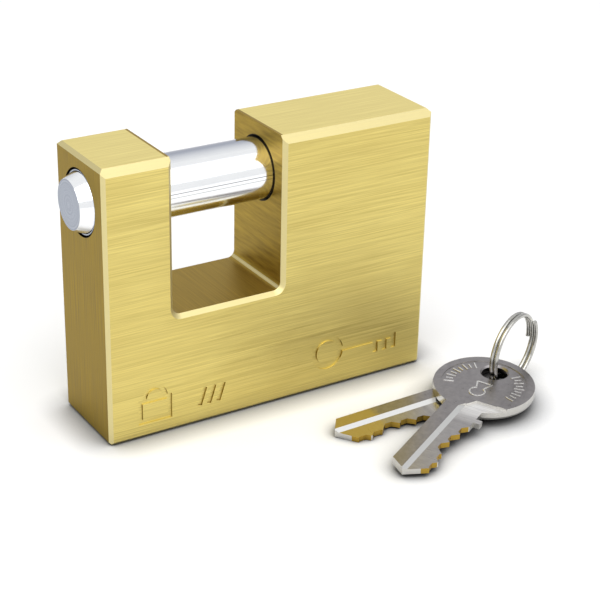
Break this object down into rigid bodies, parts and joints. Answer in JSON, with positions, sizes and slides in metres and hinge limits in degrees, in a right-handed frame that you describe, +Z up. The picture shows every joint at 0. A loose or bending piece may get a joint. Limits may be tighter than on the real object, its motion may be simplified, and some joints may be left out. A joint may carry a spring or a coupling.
{
  "type": "straight bolt shutter padlock",
  "caption": "Rectangular solid-brass padlock with an open gap crossed by a sliding steel bolt, a pin cylinder under its wide block, and keys on a split ring.",
  "frame": {"origin": "centre of the lock body's flat underside", "axes": "+X along the body towards the wide cylinder block, +Y to the back, +Z up out of the underside"},
  "size_m": [0.0898, 0.0574, 0.0544],
  "materials": {
    "body_brass": "satin brushed brass",
    "plug_brass": "turned brass",
    "pin_brass": "turned brass",
    "bolt_chrome": "polished chrome on hardened steel",
    "hard_steel": "ground hardened steel",
    "spring_steel": "drawn spring wire",
    "key_nickel": "nickel plated brass, brushed",
    "ring_steel": "bright drawn wire"
  },
  "bodies": {
    "body": {"lock_body": "body_brass", "chamber_plug_1": "body_brass", "chamber_plug_2": "body_brass", "chamber_plug_3": "body_brass", "chamber_plug_4": "body_brass", "chamber_plug_5": "body_brass", "bolt_stop_pin": "hard_steel", "plug_retaining_pin": "hard_steel", "driver_pin_1": "pin_brass", "driver_pin_2": "pin_brass", "driver_pin_3": "pin_brass", "driver_pin_4": "pin_brass", "driver_pin_5": "pin_brass", "pin_spring_1": "spring_steel", "pin_spring_2": "spring_steel", "pin_spring_3": "spring_steel", "pin_spring_4": "spring_steel", "pin_spring_5": "spring_steel", "bolt_spring": "spring_steel"},
    "bolt": {"sliding_bolt": "bolt_chrome"},
    "cylinder": {"plug": "plug_brass", "cam": "hard_steel", "key_pin_1": "pin_brass", "key_pin_2": "pin_brass", "key_pin_3": "pin_brass", "key_pin_4": "pin_brass", "key_pin_5": "pin_brass"},
    "lower_key": {"key_back": "key_nickel"},
    "upper_key": {"key_front": "key_nickel"},
    "ring": {"key_ring": "ring_steel"}
  },
  "joints": [
    {"name": "bolt_slide", "type": "slide", "parent": "body", "child": "bolt", "axis": [-1, 0, 0], "range_m": [0, 0.043], "deforming": ["bolt_spring"]},
    {"name": "plug_turn", "type": "hinge", "parent": "body", "child": "cylinder", "pos_m": [0.0137, 0, 0], "axis": [0, 0, 1], "range_deg": [0, 180]},
    {"name": "keys_lift", "type": "slide", "parent": "body", "child": "lower_key", "axis": [0, 0, 1], "range_m": [0, 0.03]},
    {"name": "key_fan", "type": "hinge", "parent": "lower_key", "child": "upper_key", "pos_m": [0.0399, -0.0289, 0.0033], "axis": [-0.039, -0.0578, 0.9976], "range_deg": [0, 90]},
    {"name": "ring_swing", "type": "hinge", "parent": "lower_key", "child": "ring", "pos_m": [0.0399, -0.0289, 0.0033], "axis": [0.9336, 0.3584, 0], "range_deg": [-25, 12]}
  ]
}
